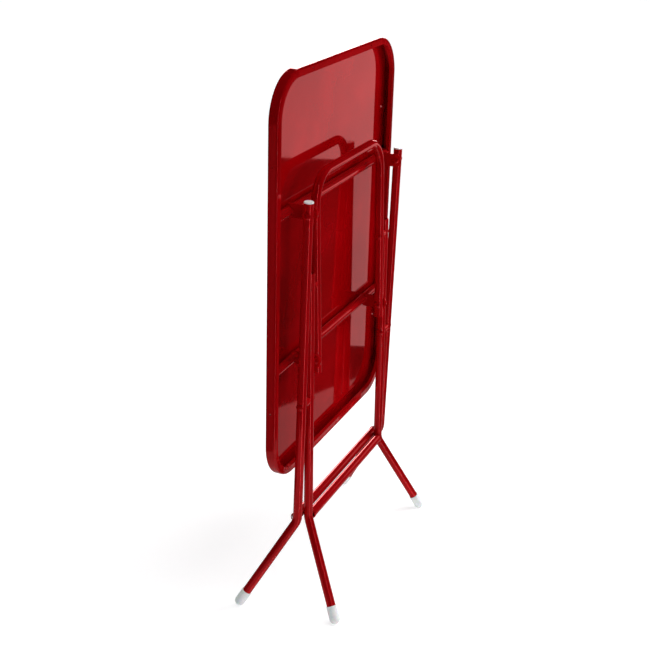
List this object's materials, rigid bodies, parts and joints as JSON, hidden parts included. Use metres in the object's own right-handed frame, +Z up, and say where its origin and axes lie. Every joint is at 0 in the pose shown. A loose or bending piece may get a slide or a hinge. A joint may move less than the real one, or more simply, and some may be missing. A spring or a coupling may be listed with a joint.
{
  "type": "folding table",
  "caption": "Folding sheet-steel table on crossed round-tube legs with a hinged stay, stored upright on its splayed feet.",
  "frame": {"origin": "on the floor, at the centre of the folded table's footprint", "axes": "+Z up along the folded table's height, +Y through the tabletop's upper face, +X across the table"},
  "size_m": [0.5026, 0.1946, 0.958],
  "materials": {
    "panel_enamel": "gloss",
    "tube_enamel": "gloss",
    "rivet_enamel": "gloss",
    "spacer_enamel": "gloss",
    "white_plastic": "satin"
  },
  "bodies": {
    "outer_leg_frame": {"outer_leg_left": "tube_enamel", "outer_leg_right": "tube_enamel", "outer_cross_bar": "tube_enamel", "outer_leg_plug_left": "white_plastic", "outer_leg_plug_right": "white_plastic", "outer_foot_left": "white_plastic", "outer_foot_right": "white_plastic", "crossing_rivet_left": "rivet_enamel", "crossing_rivet_right": "rivet_enamel", "crossing_spacer_left": "spacer_enamel", "crossing_spacer_right": "spacer_enamel", "top_pivot_washer_left": "spacer_enamel", "top_pivot_washer_right": "spacer_enamel"},
    "inner_leg_frame": {"inner_leg_left": "tube_enamel", "inner_leg_right": "tube_enamel", "inner_cross_bar": "tube_enamel", "inner_foot_left": "white_plastic", "inner_foot_right": "white_plastic", "stay_top_rivet_outer_left": "rivet_enamel", "stay_top_rivet_outer_right": "rivet_enamel", "stay_top_spacer_left": "spacer_enamel", "stay_top_spacer_right": "spacer_enamel"},
    "tabletop": {"tabletop_panel": "panel_enamel", "upper_cross_tube": "tube_enamel", "lower_cross_tube": "tube_enamel", "top_pivot_ear_left": "tube_enamel", "top_pivot_ear_right": "tube_enamel", "stay_foot_ear_left": "tube_enamel", "stay_foot_ear_right": "tube_enamel", "top_pivot_rivet_left": "rivet_enamel", "top_pivot_rivet_right": "rivet_enamel", "stay_foot_rivet_left": "rivet_enamel", "stay_foot_rivet_right": "rivet_enamel"},
    "stay": {"stay": "tube_enamel", "stay_top_rivet_inner_left": "rivet_enamel", "stay_top_rivet_inner_right": "rivet_enamel"}
  },
  "joints": [
    {"name": "tabletop_fold", "type": "hinge", "parent": "outer_leg_frame", "child": "tabletop", "pos_m": [0, -0.012, 0.735], "axis": [1, 0, 0], "range_deg": [0, 66.91]},
    {"name": "leg_crossing", "type": "hinge", "parent": "outer_leg_frame", "child": "inner_leg_frame", "pos_m": [0, -0.0067, 0.3995], "axis": [-1, 0, 0], "range_deg": [0, 45.7]},
    {"name": "stay_foot_hinge", "type": "hinge", "parent": "tabletop", "child": "stay", "pos_m": [0, -0.0085, 0.465], "axis": [1, 0, 0], "range_deg": [0, 68.8]}
  ],
  "couplings": [
    {"joint": "leg_crossing", "follows": "tabletop_fold", "ratio": 0.68099},
    {"joint": "stay_foot_hinge", "follows": "tabletop_fold", "ratio": 1.0263}
  ]
}
